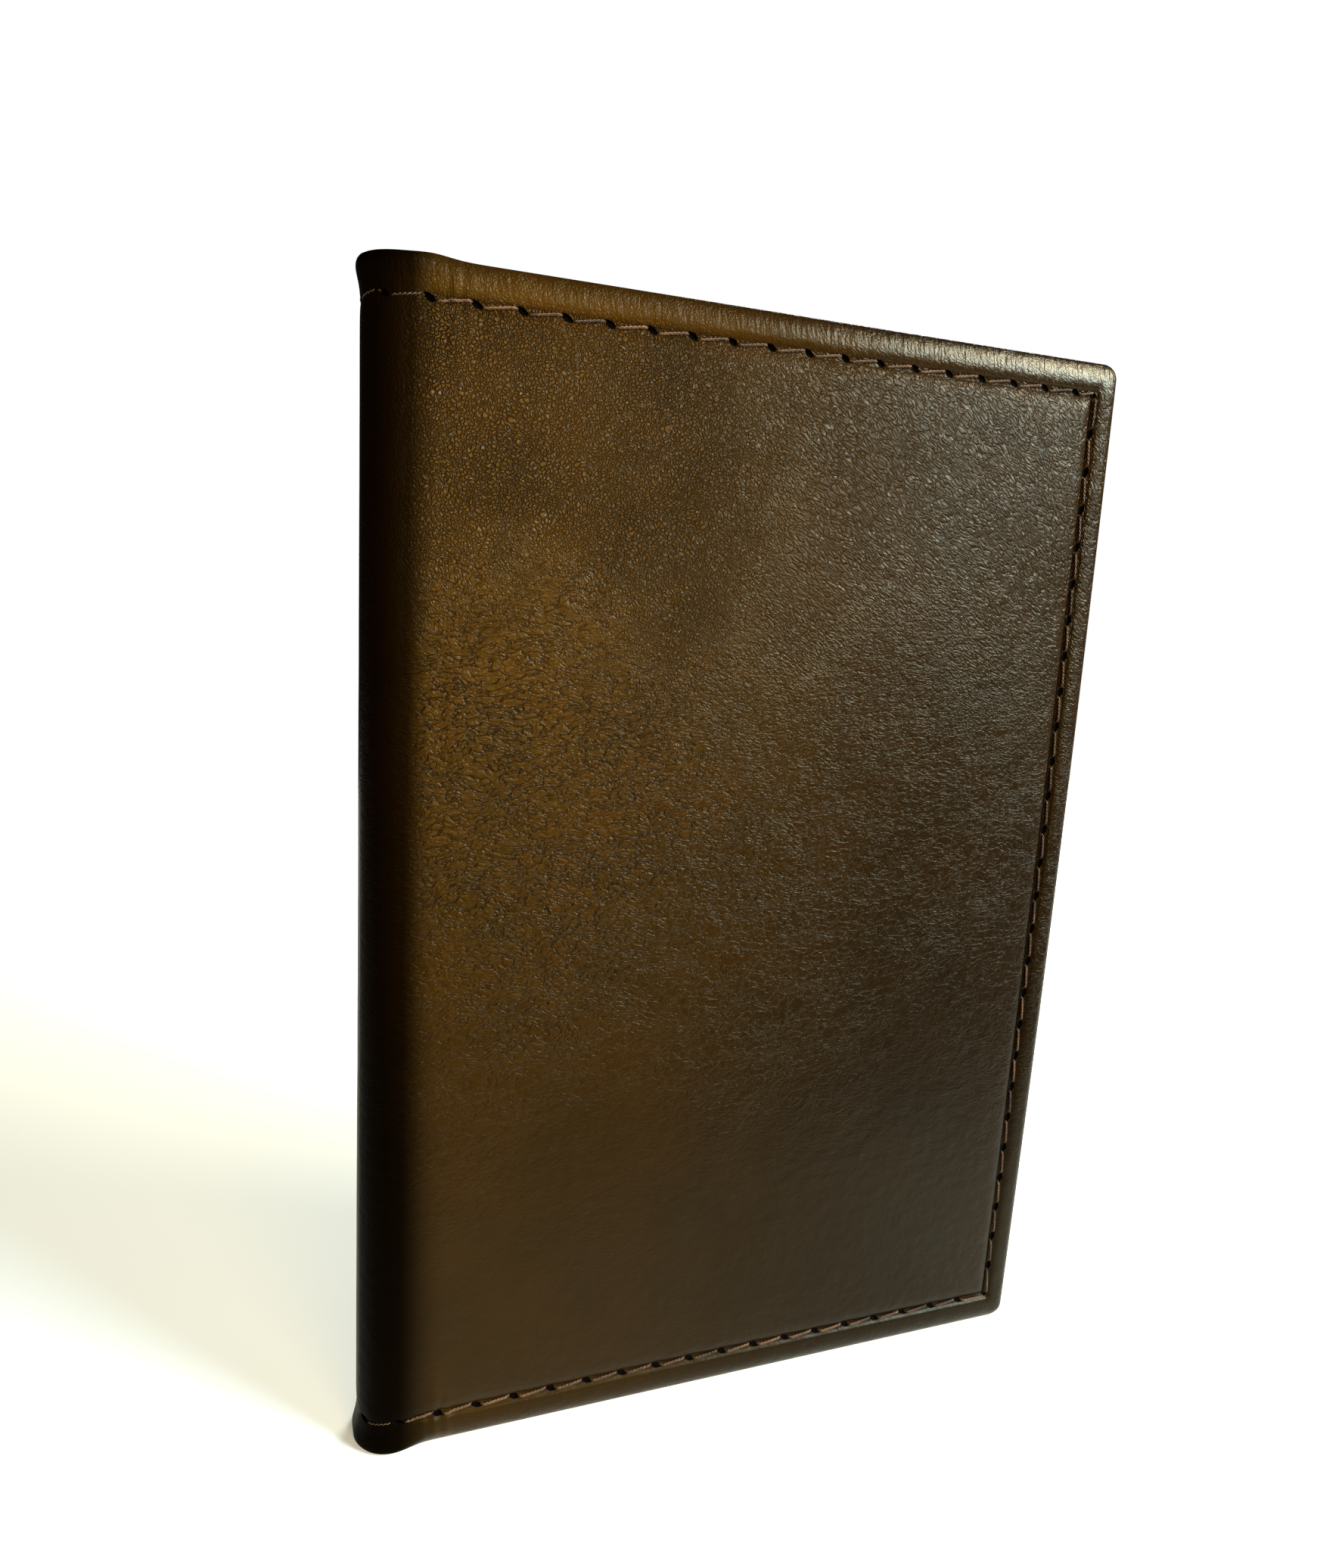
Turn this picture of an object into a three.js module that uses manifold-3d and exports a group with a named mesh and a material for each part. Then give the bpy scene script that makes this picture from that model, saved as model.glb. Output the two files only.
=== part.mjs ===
// A leather passport holder: a small bifold cover that stands closed on its bottom edge.
// Millimetres, +Z up. The front cover faces -Y, the spine is at -X and the fore edge at +X.
// The origin is on the floor, under the middle of the holder.
import * as THREE from 'three';
import { mergeVertices } from 'three/addons/utils/BufferGeometryUtils.js';
import Module from 'manifold-3d';

const wasm = await Module();
wasm.setup();

// Overall size of the closed holder.
const HEIGHT = 140;
const WIDTH = 96;
const THICKNESS = 10;
const FORE_EDGE = WIDTH / 2;
const OUTER_FACE = THICKNESS / 2;

// Layers of a cover, from the outside in, with a thin glue line between them.
const GLUE = 0.05;
const LEATHER = 0.8;
const BOARD = 0.5;
const LINING = 0.2;
const HEM_LEATHER = 0.4;
const SLEEVE_LEATHER = 0.5;

const LEATHER_INSIDE = OUTER_FACE - LEATHER;
const BOARD_OUTSIDE = LEATHER_INSIDE - GLUE;
const BOARD_INSIDE = BOARD_OUTSIDE - BOARD;
const LINING_OUTSIDE = BOARD_INSIDE - GLUE;
const LINING_INSIDE = LINING_OUTSIDE - LINING;
const HEM_OUTSIDE = LINING_INSIDE - GLUE;
const HEM_INSIDE = HEM_OUTSIDE - HEM_LEATHER;
const SLEEVE_OUTSIDE = HEM_INSIDE - GLUE;
const SLEEVE_INSIDE = SLEEVE_OUTSIDE - SLEEVE_LEATHER;

// The leather turns over the edges by this much, and its edge is softly rounded.
const HEM_WIDTH = 8;
const EDGE_ROUND = 0.7;
const FORE_CORNER = 2;

// The spine: two quarter-round folds with a narrow flat between them.
const FOLD_RADIUS = 4;
const FOLD_X = FOLD_RADIUS - FORE_EDGE;
const FOLD_GAP = 0.3;
const COVER_START = FOLD_X + FOLD_GAP;
const SPINE_FLAT = THICKNESS - 2 * FOLD_RADIUS;
const SPINE_LENGTH = Math.PI * FOLD_RADIUS + SPINE_FLAT;
const SPINE_LINING_DEPTH = LEATHER + GLUE;
const SPINE_HEM_DEPTH = SPINE_LINING_DEPTH + LINING + GLUE;

// The stiffening boards stop short of the folds, and the sleeves cover the fore part only.
const BOARD_WIDTH = 86;
const SLEEVE_WIDTH = 61;
const SLEEVE_INSET = 1;
const SLEEVE_CORNER = 1.5;

// The seam: one row of stitches all round, sunk in a shallow groove.
const SEAM_INSET = 4.1;
const SEAM_FORE_INSET = 3.5;
const SEAM_X = FORE_EDGE - SEAM_FORE_INSET;
const SEAM_TOP = HEIGHT - SEAM_INSET;
const FORE_STITCHES = 27;
const PITCH = (SEAM_TOP - SEAM_INSET) / FORE_STITCHES;
const THREAD = 0.45;
const THREAD_CLEARANCE = 0.05;
const THREAD_SIDES = 4;
const STEPS_PER_STITCH = 3;
const STITCH_RISE = 0.1;
const SEAM_CORNER = 0.5;
const GROOVE_WIDTH = 0.9;
const GROOVE_DEPTH = 0.4;
const SLEEVE_GROOVE_DEPTH = 0.35;

// Straight steps in a quarter turn of the spine and of a corner. Paths sample arcs twice per segment.
const ARC_STEPS = 8;
const CORNER_STEPS = 4;
const EDGE_STEPS = 3;
const BEYOND = 1;
const MERGE_DISTANCE = 1e-4;

const leatherMaterial = new THREE.MeshStandardMaterial({ color: 0x35221a, roughness: 0.42, metalness: 0 });
const sleeveMaterial = new THREE.MeshStandardMaterial({ color: 0x3b261c, roughness: 0.5, metalness: 0 });
const liningMaterial = new THREE.MeshStandardMaterial({ color: 0x2b211b, roughness: 0.85, metalness: 0 });
const boardMaterial = new THREE.MeshStandardMaterial({ color: 0x9a8a72, roughness: 0.9, metalness: 0 });
const threadMaterial = new THREE.MeshStandardMaterial({ color: 0x8a5a38, roughness: 0.6, metalness: 0 });

// ---- Solids ----

function toSolid(geometry) {
  const bare = geometry.clone();
  bare.deleteAttribute('normal');
  bare.deleteAttribute('uv');
  const merged = mergeVertices(bare, MERGE_DISTANCE);
  return new wasm.Manifold(new wasm.Mesh({
    numProp: 3,
    vertProperties: new Float32Array(merged.attributes.position.array),
    triVerts: new Uint32Array(merged.index.array),
  }));
}

function toGeometry(solid) {
  const { vertProperties, triVerts } = solid.getMesh();
  const geometry = new THREE.BufferGeometry();
  geometry.setAttribute('position', new THREE.BufferAttribute(vertProperties, 3));
  geometry.setIndex(new THREE.BufferAttribute(triVerts, 1));
  geometry.computeVertexNormals();
  return geometry;
}

// A box between two corners.
function block(low, high) {
  const size = new THREE.Vector3().subVectors(high, low);
  const middle = new THREE.Vector3().addVectors(low, high).multiplyScalar(0.5);
  const box = new THREE.BoxGeometry(size.x, size.y, size.z);
  return toSolid(box.translate(middle.x, middle.y, middle.z));
}

// A panel's outline in X and Z: square at the spine side, rounded at the two fore corners.
function panelShape(left, right, bottom, top, corner) {
  const shape = new THREE.Shape();
  shape.moveTo(left, bottom);
  shape.lineTo(right - corner, bottom);
  shape.absarc(right - corner, bottom + corner, corner, -Math.PI / 2, 0, false);
  shape.lineTo(right, top - corner);
  shape.absarc(right - corner, top - corner, corner, 0, Math.PI / 2, false);
  shape.lineTo(left, top);
  return shape;
}

// A front panel between two distances from the holder's middle plane.
// Its rim can be rounded by the radius given.
function panel(shape, outside, inside, round = 0) {
  const geometry = new THREE.ExtrudeGeometry(shape, {
    depth: outside - inside - 2 * round,
    curveSegments: CORNER_STEPS / 2,
    bevelEnabled: round > 0,
    bevelThickness: round,
    bevelSize: round,
    bevelOffset: -round,
    bevelSegments: EDGE_STEPS,
  });
  geometry.translate(0, 0, inside + round);
  geometry.rotateX(Math.PI / 2);
  return toSolid(geometry);
}

// ---- Covers, drawn as the front cover ----

function seamGroove(surface, depth, start) {
  const half = GROOVE_WIDTH / 2;
  const outside = -surface - BEYOND * Math.sign(depth);
  const low = Math.min(outside, depth - surface);
  const high = Math.max(outside, depth - surface);
  const row = (z) => block(
    new THREE.Vector3(start, low, z - half),
    new THREE.Vector3(SEAM_X + half, high, z + half),
  );
  const foreRow = block(
    new THREE.Vector3(SEAM_X - half, low, SEAM_INSET - half),
    new THREE.Vector3(SEAM_X + half, high, SEAM_TOP + half),
  );
  return row(SEAM_INSET).add(row(SEAM_TOP)).add(foreRow);
}

// The outer leather of one cover: a face, three turned edges and the hem inside them.
function coverLeather() {
  const left = FOLD_X - HEM_WIDTH;
  const skin = panelShape(left, FORE_EDGE, 0, HEIGHT, FORE_CORNER);
  const filling = panelShape(
    left - BEYOND, FORE_EDGE - LEATHER, LEATHER, HEIGHT - LEATHER, FORE_CORNER - LEATHER,
  );
  const window = panelShape(
    left - BEYOND, FORE_EDGE - HEM_WIDTH, HEM_WIDTH, HEIGHT - HEM_WIDTH, FORE_CORNER,
  );
  const spineSide = block(
    new THREE.Vector3(left - 2 * BEYOND, -OUTER_FACE - BEYOND, -BEYOND),
    new THREE.Vector3(COVER_START, 0, HEIGHT + BEYOND),
  );
  return panel(skin, OUTER_FACE, HEM_INSIDE, EDGE_ROUND)
    .subtract(panel(filling, LEATHER_INSIDE, HEM_OUTSIDE))
    .subtract(panel(window, HEM_OUTSIDE + BEYOND / 2, HEM_INSIDE - BEYOND))
    .subtract(spineSide)
    .subtract(seamGroove(OUTER_FACE, GROOVE_DEPTH, left));
}

function coverBoard() {
  const edge = LEATHER + GLUE;
  const left = FORE_EDGE - edge - BOARD_WIDTH;
  const shape = panelShape(left, FORE_EDGE - edge, edge, HEIGHT - edge, FORE_CORNER - edge);
  return panel(shape, BOARD_OUTSIDE, BOARD_INSIDE);
}

function coverLining() {
  const edge = LEATHER + GLUE;
  const shape = panelShape(COVER_START, FORE_EDGE - edge, edge, HEIGHT - edge, FORE_CORNER - edge);
  return panel(shape, LINING_OUTSIDE, LINING_INSIDE);
}

// The sleeve is sewn down on three sides and open towards the spine.
function coverSleeve() {
  const right = FORE_EDGE - SLEEVE_INSET;
  const left = right - SLEEVE_WIDTH;
  const shape = panelShape(left, right, SLEEVE_INSET, HEIGHT - SLEEVE_INSET, SLEEVE_CORNER);
  return panel(shape, SLEEVE_OUTSIDE, SLEEVE_INSIDE)
    .subtract(seamGroove(SLEEVE_INSIDE, -SLEEVE_GROOVE_DEPTH, left - BEYOND));
}

// ---- Spine ----

// The spine's plan, drawn this far inside its outer surface and closed off at the fold line.
function spineShape(depth, right) {
  const radius = FOLD_RADIUS - depth;
  const half = OUTER_FACE - depth;
  const shape = new THREE.Shape();
  shape.moveTo(right, half);
  shape.lineTo(FOLD_X, half);
  shape.absarc(FOLD_X, half - radius, radius, Math.PI / 2, Math.PI, false);
  shape.absarc(FOLD_X, radius - half, radius, Math.PI, 1.5 * Math.PI, false);
  shape.lineTo(right, -half);
  return shape;
}

function spineBlock(depth, bottom, top, right = FOLD_X + BEYOND) {
  const shape = spineShape(depth, right);
  const options = { depth: top - bottom, curveSegments: ARC_STEPS / 2, bevelEnabled: false };
  return toSolid(new THREE.ExtrudeGeometry(shape, options).translate(0, 0, bottom));
}

// A bent strip between two depths inside the spine's outer surface.
function spineStrip(outside, inside, bottom, top) {
  const wide = spineBlock(outside, bottom, top, FOLD_X + BEYOND);
  const core = spineBlock(inside, bottom - BEYOND, top + BEYOND, FOLD_X + 2 * BEYOND);
  const coverSide = block(
    new THREE.Vector3(FOLD_X, -THICKNESS, bottom - BEYOND),
    new THREE.Vector3(FOLD_X + 2 * BEYOND, THICKNESS, top + BEYOND),
  );
  return wide.subtract(core).subtract(coverSide);
}

function spineGroove(z) {
  const half = GROOVE_WIDTH / 2;
  return spineStrip(-BEYOND, GROOVE_DEPTH, z - half, z + half);
}

function spineLeather() {
  const full = SPINE_HEM_DEPTH + HEM_LEATHER;
  const face = spineStrip(0, LEATHER, 0, HEIGHT);
  const ends = [[0, LEATHER, HEM_WIDTH], [HEIGHT, HEIGHT - LEATHER, HEIGHT - HEM_WIDTH]];
  const turned = ends.map(([edge, wall, hem]) => {
    const turn = spineStrip(0, full, Math.min(edge, wall), Math.max(edge, wall));
    return turn.add(spineStrip(SPINE_HEM_DEPTH, full, Math.min(edge, hem), Math.max(edge, hem)));
  });
  return face.add(turned[0]).add(turned[1])
    .subtract(spineGroove(SEAM_INSET))
    .subtract(spineGroove(SEAM_TOP));
}

function spineLining() {
  const edge = LEATHER + GLUE;
  return spineStrip(SPINE_LINING_DEPTH, SPINE_LINING_DEPTH + LINING, edge, HEIGHT - edge);
}

// ---- Thread ----

// Distances along a row of stitches from its first hole to its last, at most one pitch apart.
function stations(from, to) {
  const count = Math.max(1, Math.round(Math.abs(to - from) / PITCH));
  return Array.from({ length: count + 1 }, (_, i) => from + ((to - from) * i) / count);
}

// The thread's height over a row: down at each hole and up between two holes.
function stitchRow(holes, place) {
  const points = [];
  for (let i = 0; i + 1 < holes.length; i += 1) {
    points.push(place(holes[i], 0));
    points.push(place((holes[i] + holes[i + 1]) / 2, STITCH_RISE));
  }
  points.push(place(holes[holes.length - 1], 0));
  return points;
}

function threadTube(points, stitches) {
  const section = new THREE.Shape();
  const radius = THREAD / 2;
  section.absarc(0, 0, radius, 0, 2 * Math.PI, false);
  const curve = new THREE.CatmullRomCurve3(points);
  const geometry = new THREE.ExtrudeGeometry(section, {
    steps: Math.round(stitches * STEPS_PER_STITCH),
    curveSegments: THREAD_SIDES / 2,
    extrudePath: curve,
  });
  return toSolid(geometry);
}

// One cover's thread: along the top, down the fore edge and back along the bottom.
// heightAt gives the thread's distance from the holder's middle plane at each X.
function coverThread(heightAt, side) {
  const start = COVER_START + THREAD;
  const level = (x, rise) => -(heightAt(x) + side * rise);
  const turn = SEAM_X - SEAM_CORNER;
  const across = stations(start, turn);
  const down = stations(SEAM_TOP - SEAM_CORNER, SEAM_INSET + SEAM_CORNER);
  const corner = (z, direction) => {
    const reach = SEAM_CORNER * Math.SQRT1_2;
    const middle = z + direction * SEAM_CORNER;
    return new THREE.Vector3(turn + reach, level(SEAM_X, 0), middle - direction * reach);
  };
  const points = [
    ...stitchRow(across, (x, rise) => new THREE.Vector3(x, level(x, rise), SEAM_TOP)),
    corner(SEAM_TOP, -1),
    ...stitchRow(down, (z, rise) => new THREE.Vector3(SEAM_X, level(SEAM_X, rise), z)),
    corner(SEAM_INSET, 1),
    ...stitchRow(across.toReversed(), (x, rise) => new THREE.Vector3(x, level(x, rise), SEAM_INSET)),
  ];
  return threadTube(points, 2 * across.length + down.length);
}

function outsideThread() {
  const height = OUTER_FACE - GROOVE_DEPTH + THREAD_CLEARANCE + THREAD / 2;
  return coverThread(() => height, 1);
}

// Inside, the thread lies on the hem near the spine and climbs onto the sleeve.
function insideThread() {
  const onHem = HEM_INSIDE - THREAD_CLEARANCE - THREAD / 2;
  const onSleeve = SLEEVE_INSIDE + SLEEVE_GROOVE_DEPTH - THREAD_CLEARANCE - THREAD / 2;
  const sleeveEdge = FORE_EDGE - SLEEVE_INSET - SLEEVE_WIDTH;
  return coverThread((x) => (x < sleeveEdge - PITCH / 2 ? onHem : onSleeve), 0);
}

// The spine's thread follows the bend at one depth inside the outer surface.
function spineThread(z, depth) {
  const radius = FOLD_RADIUS - depth;
  const arc = (radius * Math.PI) / 2;
  const half = OUTER_FACE - depth;
  const length = 2 * arc + SPINE_FLAT;
  const at = (distance) => {
    if (distance < arc) {
      const angle = 1.5 * Math.PI - distance / radius;
      const centre = radius - half;
      return new THREE.Vector3(FOLD_X + radius * Math.cos(angle), centre + radius * Math.sin(angle), z);
    }
    if (distance < arc + SPINE_FLAT) {
      return new THREE.Vector3(FOLD_X - radius, distance - arc - SPINE_FLAT / 2, z);
    }
    const angle = Math.PI - (distance - arc - SPINE_FLAT) / radius;
    const centre = half - radius;
    return new THREE.Vector3(FOLD_X + radius * Math.cos(angle), centre + radius * Math.sin(angle), z);
  };
  const count = 2 * ARC_STEPS;
  const inset = THREAD / 2;
  const points = Array.from({ length: count + 1 }, (_, i) => at(inset + ((length - 2 * inset) * i) / count));
  return threadTube(points, SPINE_LENGTH / PITCH);
}

// ---- Assembly ----

function named(name, solid, material) {
  const mesh = new THREE.Mesh(toGeometry(solid), material.clone());
  mesh.name = name;
  return mesh;
}

function cover(side) {
  const group = new THREE.Group();
  group.add(
    named(`${side}_outer_leather`, coverLeather(), leatherMaterial),
    named(`${side}_board`, coverBoard(), boardMaterial),
    named(`${side}_lining`, coverLining(), liningMaterial),
    named(`${side}_sleeve`, coverSleeve(), sleeveMaterial),
    named(`${side}_outside_thread`, outsideThread(), threadMaterial),
    named(`${side}_inside_thread`, insideThread(), threadMaterial),
  );
  return group;
}

function spine() {
  const group = new THREE.Group();
  group.add(
    named('spine_outer_leather', spineLeather(), leatherMaterial),
    named('spine_lining', spineLining(), liningMaterial),
  );
  const outsideDepth = GROOVE_DEPTH - THREAD_CLEARANCE - THREAD / 2;
  const insideDepth = SPINE_HEM_DEPTH + HEM_LEATHER + THREAD_CLEARANCE + THREAD / 2;
  for (const [end, z] of [['bottom', SEAM_INSET], ['top', SEAM_TOP]]) {
    group.add(
      named(`spine_${end}_outside_thread`, spineThread(z, outsideDepth), threadMaterial),
      named(`spine_${end}_inside_thread`, spineThread(z, insideDepth), threadMaterial),
    );
  }
  return group;
}

const frontCover = cover('front');

// The back cover is the same build turned over, top to bottom, behind the middle plane.
const backCover = cover('back');
backCover.rotation.x = Math.PI;
backCover.position.z = HEIGHT;

const holder = new THREE.Group();
holder.add(frontCover, spine(), backCover);

export default holder;
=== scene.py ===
"""The looks of a leather passport holder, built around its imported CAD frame.

Shapes are worked out in millimetres on the flat pattern of the outer leather: u runs from the middle of
the spine round to the fore edge, v runs up from the bottom edge, and depth goes in from the leather's face.
place() bends that pattern round the spine and gives points in the row frame, in metres.
"""

import math

import bmesh
import bpy
import numpy as np
from mathutils import Matrix, Vector


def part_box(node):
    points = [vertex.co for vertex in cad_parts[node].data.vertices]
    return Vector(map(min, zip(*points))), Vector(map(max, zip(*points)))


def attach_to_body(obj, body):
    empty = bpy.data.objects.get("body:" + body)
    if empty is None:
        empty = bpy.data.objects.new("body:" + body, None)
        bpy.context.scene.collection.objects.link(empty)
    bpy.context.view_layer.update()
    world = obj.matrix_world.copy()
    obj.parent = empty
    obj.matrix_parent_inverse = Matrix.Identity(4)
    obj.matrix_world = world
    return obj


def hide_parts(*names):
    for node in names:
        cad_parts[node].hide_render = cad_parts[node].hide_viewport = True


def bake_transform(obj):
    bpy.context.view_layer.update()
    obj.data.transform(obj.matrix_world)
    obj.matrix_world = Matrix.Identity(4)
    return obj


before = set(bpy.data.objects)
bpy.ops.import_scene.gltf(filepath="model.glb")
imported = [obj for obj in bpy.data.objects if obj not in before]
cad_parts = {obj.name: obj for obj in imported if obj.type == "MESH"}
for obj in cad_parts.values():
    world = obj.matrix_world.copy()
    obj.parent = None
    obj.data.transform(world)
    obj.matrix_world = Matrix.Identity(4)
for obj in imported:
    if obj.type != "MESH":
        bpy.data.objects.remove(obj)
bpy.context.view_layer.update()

MM = 0.001
TINY = 1e-6
FRONT, BACK = -1, 1
SIDES = {"front": FRONT, "back": BACK}

# The frame's own sizes, in millimetres.
cover_low, cover_high = (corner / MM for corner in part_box("front_outer_leather"))
spine_low, spine_high = (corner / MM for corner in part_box("spine_outer_leather"))
sleeve_low, sleeve_high = (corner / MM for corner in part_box("front_sleeve"))
HEIGHT = cover_high.z
FORE_X = cover_high.x
FACE = -cover_low.y
FOLD_X = spine_high.x
FOLD_RADIUS = FOLD_X - spine_low.x
HALF_FLAT = FACE - FOLD_RADIUS
FOLD_END = HALF_FLAT + FOLD_RADIUS * math.pi / 2
FORE_U = FOLD_END + FORE_X - FOLD_X

# Depths under the leather's face, on the covers and on the spine.
HEM_DEPTH = FACE + cover_high.y
SPINE_HEM_DEPTH = 1.5
LINING_DEPTH = 1.6
SPINE_LINING_DEPTH = 1.05
SLEEVE_DEPTH = FACE + sleeve_high.y
BOARD_EDGE = FORE_U - 87.0

# The rim: a soft roll outside the seam, and the hem that is turned over inside it. The roll is wider at the
# top and bottom, and tight on the spine. SHOULDER is a small rise of the top edge beside the spine, and
# BULGE is how far the fore edge swells at mid height.
CORNER = 2.0
BULGE = 0.6
ROLL = 1.25
END_ROLL = 2.3
SPINE_ROLL = 0.55
SHOULDER = 0.35
SHOULDER_WIDTH = 2.4
CREST = 0.06
SPINE_CREST = 0.48
HEM = 8.0
LEATHER = 0.8
HEM_LEATHER = 0.4
HEM_PINCH = 0.16
HEM_WEIGHT = HEM_LEATHER / LEATHER * 0.9

# The leather's step down past the board's edge, its creases there as (offset from the edge, length, height),
# and its slow waves as (height, length, seed).
BOARD_STEP = 0.10
CREASES = ((0.0, 9.0, 0.30), (1.5, 6.5, 0.20), (-1.3, 5.0, 0.16))
CREASE_WIDTH = 0.45
WAVES = ((0.05, 32, 3), (0.018, 9, 5))

# The seam: its place, how it presses the leather on both sides, its slits and its thread. The places and
# widths of the pinch, the crest and the groove are distances from the row of stitches.
SEAM_V = 4.1
SEAM_FORE = 3.5
SEAM_U = FORE_U - SEAM_FORE
FORE_STITCHES = 27
TOP_STITCHES = 20
PITCH = (HEIGHT - 2 * SEAM_V) / FORE_STITCHES
PINCH = 0.36
SPINE_PINCH = 0.04
GROOVE = 0.14
FORE_GROOVE = 0.26
SEAM_WIDTH_INSIDE = 0.8
DIMPLE = 0.08
DIMPLE_WIDTH = 0.9
PINCH_WIDTHS = 0.60, 1.05
VALLEY = 0.10
VALLEY_WIDTH = 3.5
CREST_PLACE = 2.0
SPINE_CREST_PLACE = 3.5
CREST_WIDTH = 1.1
SPINE_CREST_WIDTH = 1.7
SPINE_GROOVE = 0.03
GROOVE_PLACE = -0.30
GROOVE_WIDTH = 0.22
SLIT_LENGTH = 1.6
SLIT_WIDTH = 0.74
TOP_SLANT = math.radians(27)
FORE_SLANT = math.radians(10)
BOTTOM_SLANT = math.radians(18)
SLIT_TOP = -0.6
SLIT_FLOOR = 0.76
SLIT_SIDES = 12
SLIT_TAPER = 0.55
THREAD_RADIUS = 0.165
SPINE_SINK = 0.28
COVER_SINK = 0.06
INSIDE_SINK = 0.07

# The meshes' steps on the flat pattern: fine where the sheets bend, and plain elsewhere on the leather.
FINE_STEP = 0.4
PLAIN_STEP = 0.85


# ---- Small helpers ----

def smoothstep(low, high, value):
    t = np.clip((value - low) / (high - low), 0, 1)
    return t * t * (3 - 2 * t)


def mix(a, b, t):
    return a + (b - a) * t


def bell(value, middle, width):
    """A soft bump: 1 in the middle, and near 0 two widths away."""
    return np.exp(-(((value - middle) / width) ** 2))


def ripples(u, v, wavelength, seed, waves=7):
    """A smooth wavy surface from -1 to 1, with waves of about this length in all directions."""
    rng = np.random.default_rng(seed)
    total = np.zeros(np.broadcast(u, v).shape)
    for _ in range(waves):
        angle, phase = rng.uniform(0, 2 * math.pi, 2)
        length = wavelength * rng.uniform(0.7, 1.6)
        along = u * math.cos(angle) + v * math.sin(angle)
        total += np.sin(2 * math.pi * along / length + phase)
    return total / math.sqrt(waves) / 1.5


def place(u, v, depth, side):
    """Points of the row frame, in metres, for places on the flat pattern."""
    u, v, depth = np.broadcast_arrays(*(np.asarray(a, float) for a in (u, v, depth)))
    reach = np.abs(u)
    angle = np.clip((reach - HALF_FLAT) / FOLD_RADIUS, 0, math.pi / 2)
    radius = FOLD_RADIUS - depth
    past = np.maximum(reach - FOLD_END, 0)
    past = past * (1 + BULGE / (FORE_U - FOLD_END) * np.sin(math.pi * v / HEIGHT))
    shoulder = SHOULDER * bell(reach, BOARD_EDGE - 2.0, SHOULDER_WIDTH)
    v = v + shoulder * smoothstep(HEIGHT - 5, HEIGHT, v)
    x = FOLD_X - radius * np.cos(angle) + past
    y = np.minimum(reach, HALF_FLAT) + radius * np.sin(angle)
    return np.stack([x, side * np.sign(u) * y, v], -1) * MM


def cover_share(u):
    """0 on the spine, where there is no board, and 1 over the board."""
    return smoothstep(FOLD_END, BOARD_EDGE + 1.0, u)


def apply_modifiers(obj):
    """Turns the object's modifiers into its mesh."""
    bpy.context.view_layer.update()
    shown = obj.evaluated_get(bpy.context.evaluated_depsgraph_get())
    mesh = bpy.data.meshes.new_from_object(shown)
    obj.modifiers.clear()
    obj.data = mesh
    return obj


def thicken(obj, thickness, weights):
    """Gives a sheet its thickness, behind its visible face. Weights scale it from place to place."""
    group = obj.vertex_groups.new(name="thickness")
    for index, weight in enumerate(weights):
        group.add([index], float(weight), "REPLACE")
    merge_doubles(obj)
    solid = obj.modifiers.new("thickness", "SOLIDIFY")
    solid.thickness = thickness * MM
    solid.offset = -1
    solid.vertex_group = group.name
    apply_modifiers(obj)
    obj.vertex_groups.clear()


def smooth(obj, sharp_degrees=38):
    for polygon in obj.data.polygons:
        polygon.use_smooth = True
    obj.data.set_sharp_from_angle(angle=math.radians(sharp_degrees))


def vertex_array(obj):
    points = np.zeros(len(obj.data.vertices) * 3)
    obj.data.vertices.foreach_get("co", points)
    return points.reshape(-1, 3)


def write_pattern(obj, side, hemmed=False):
    """Stores each vertex's place on the flat pattern, in millimetres, for the materials.

    On a hemmed piece, the pattern runs on past the rim, so that the grain does too.
    """
    x, y, v = (vertex_array(obj) / MM).T
    y = np.abs(y)
    on_cover = x >= FOLD_X
    on_fold = ~on_cover & (y > HALF_FLAT)
    radius = np.hypot(y - HALF_FLAT, FOLD_X - x)
    angle = np.arctan2(y - HALF_FLAT, FOLD_X - x)
    depth = np.where(on_cover, FACE - y, np.where(on_fold, FOLD_RADIUS - radius, x - spine_low.x))
    u = np.where(on_cover, FOLD_END + x - FOLD_X, np.where(on_fold, HALF_FLAT + FOLD_RADIUS * angle, y))
    if hemmed:
        share = smoothstep(0.6, 1.6, depth)
        end = np.where(v > HEIGHT / 2, HEIGHT, 0.0)
        v = end + (v - end) * (1 - 2 * share)
    pattern = obj.data.attributes.new("pattern", "FLOAT_VECTOR", "POINT")
    values = np.stack([-side * u, v, depth], -1)
    pattern.data.foreach_set("vector", values.astype(np.float32).ravel())


# ---- The seam's holes ----

def bottom_holes():
    """Places along the bottom row of the front and of the back, from the spine out to the corner."""
    front_start = SEAM_U % PITCH
    front = np.arange(front_start, SEAM_U + PITCH / 2, PITCH)
    back = np.arange(PITCH - front_start, SEAM_U - PITCH, PITCH)
    return list(front), list(back) + [(back[-1] + SEAM_U) / 2, SEAM_U]


def slit_along(travel, slant):
    """A slit's long direction: the direction of sewing turned clockwise, seen from outside."""
    x, y = travel
    c, s = math.cos(slant), math.sin(slant)
    return np.array([x * c + y * s, y * c - x * s])


def corner_slit(first, second):
    """A corner's slit is shorter, and lies between the directions of its two rows."""
    return 0.35 * (first + second)


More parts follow.
